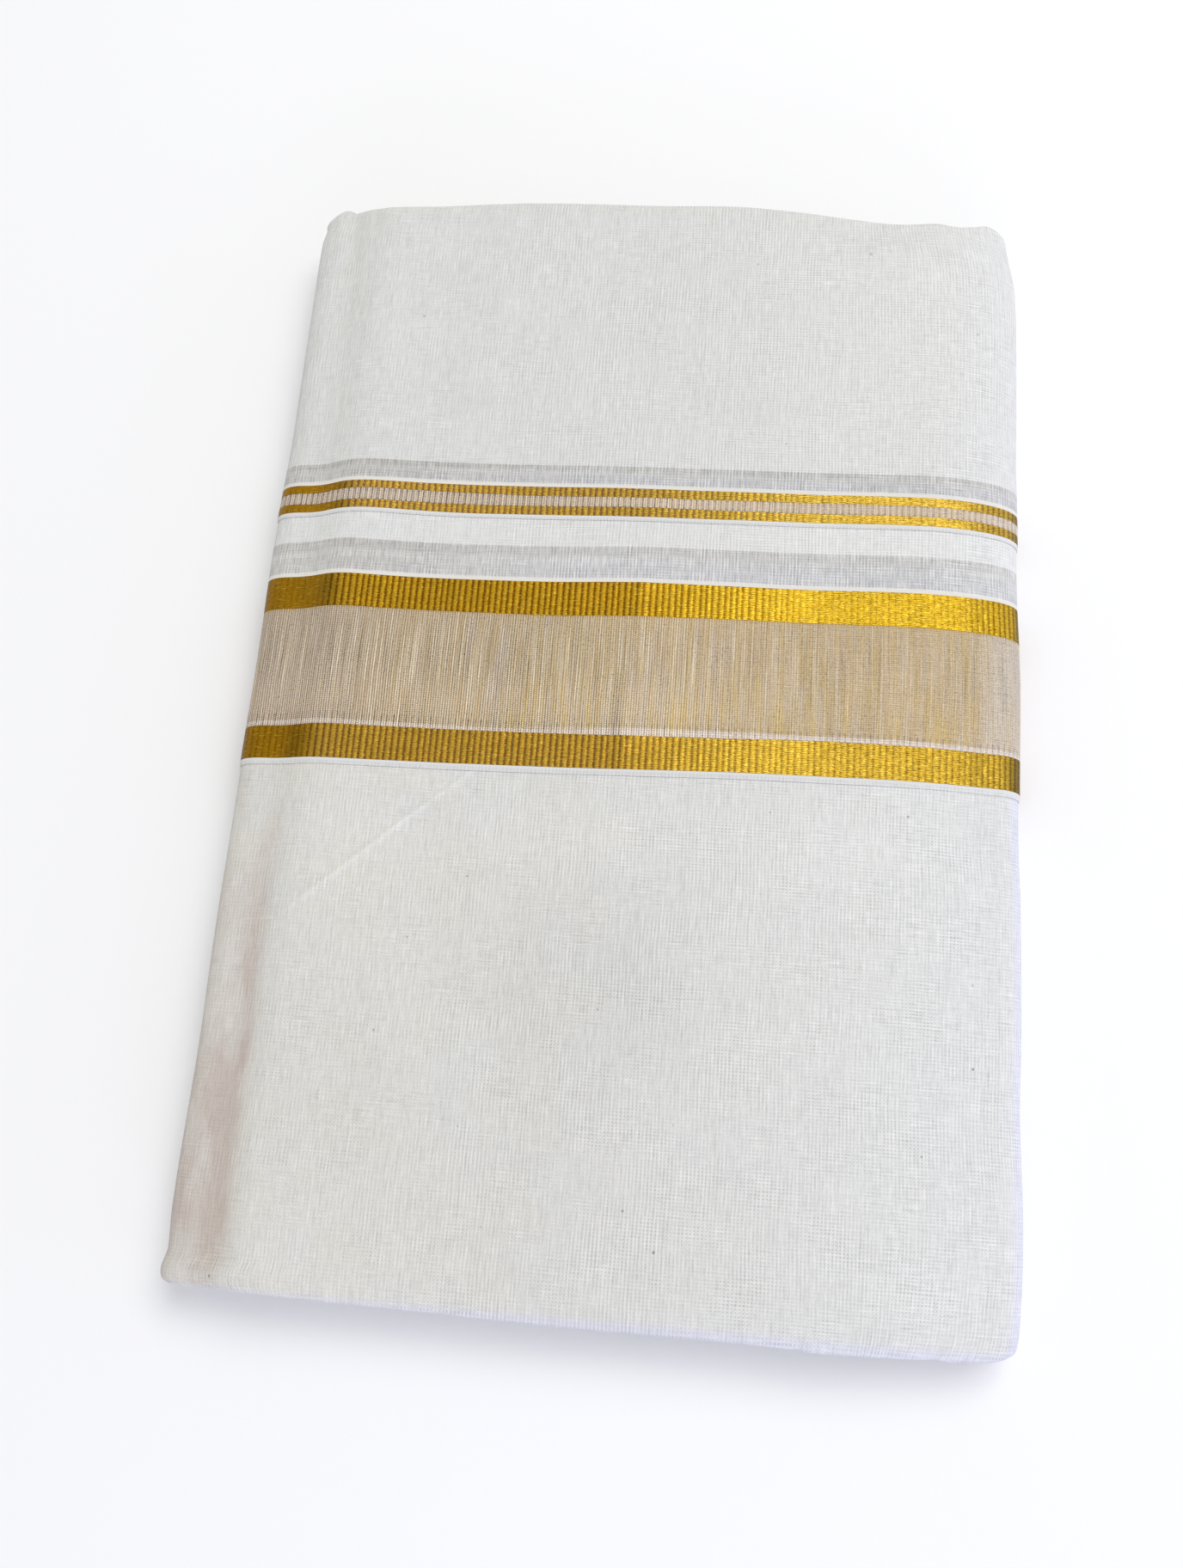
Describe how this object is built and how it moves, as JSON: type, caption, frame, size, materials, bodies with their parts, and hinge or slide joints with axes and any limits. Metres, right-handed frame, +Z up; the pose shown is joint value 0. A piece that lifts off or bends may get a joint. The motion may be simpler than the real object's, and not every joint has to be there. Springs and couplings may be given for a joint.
{
  "type": "folded dhoti cloth",
  "caption": "Cotton dhoti folded flat into a rectangular bundle, with a wide and a narrow woven gold border across two overlapping flaps and a smooth round last fold.",
  "frame": {"origin": "middle of the bottom of the bundle's box, on the surface that it lies on", "axes": "+X along the woven borders towards the smooth round fold, +Y across them towards the far edge that the upper flap turns over, +Z up through the layers"},
  "size_m": [0.2574, 0.3848, 0.031],
  "materials": {
    "white_cotton": "matt plain-woven white cotton with fine slubs and specks",
    "gold_thread": "lustrous ribbed gold thread",
    "beige_tissue": "soft sheen of beige and gold threads with fine streaks"
  },
  "bodies": {
    "root": {"folded_core": "white_cotton", "lower_panel": "white_cotton", "middle_selvedge": "white_cotton", "wide_gold_lower": "gold_thread", "wide_beige": "beige_tissue", "wide_gold_upper": "gold_thread", "middle_flap": "white_cotton", "upper_selvedge": "white_cotton", "narrow_gold_lower": "gold_thread", "narrow_beige": "beige_tissue", "narrow_gold_upper": "gold_thread", "upper_flap": "white_cotton"}
  },
  "joints": []
}
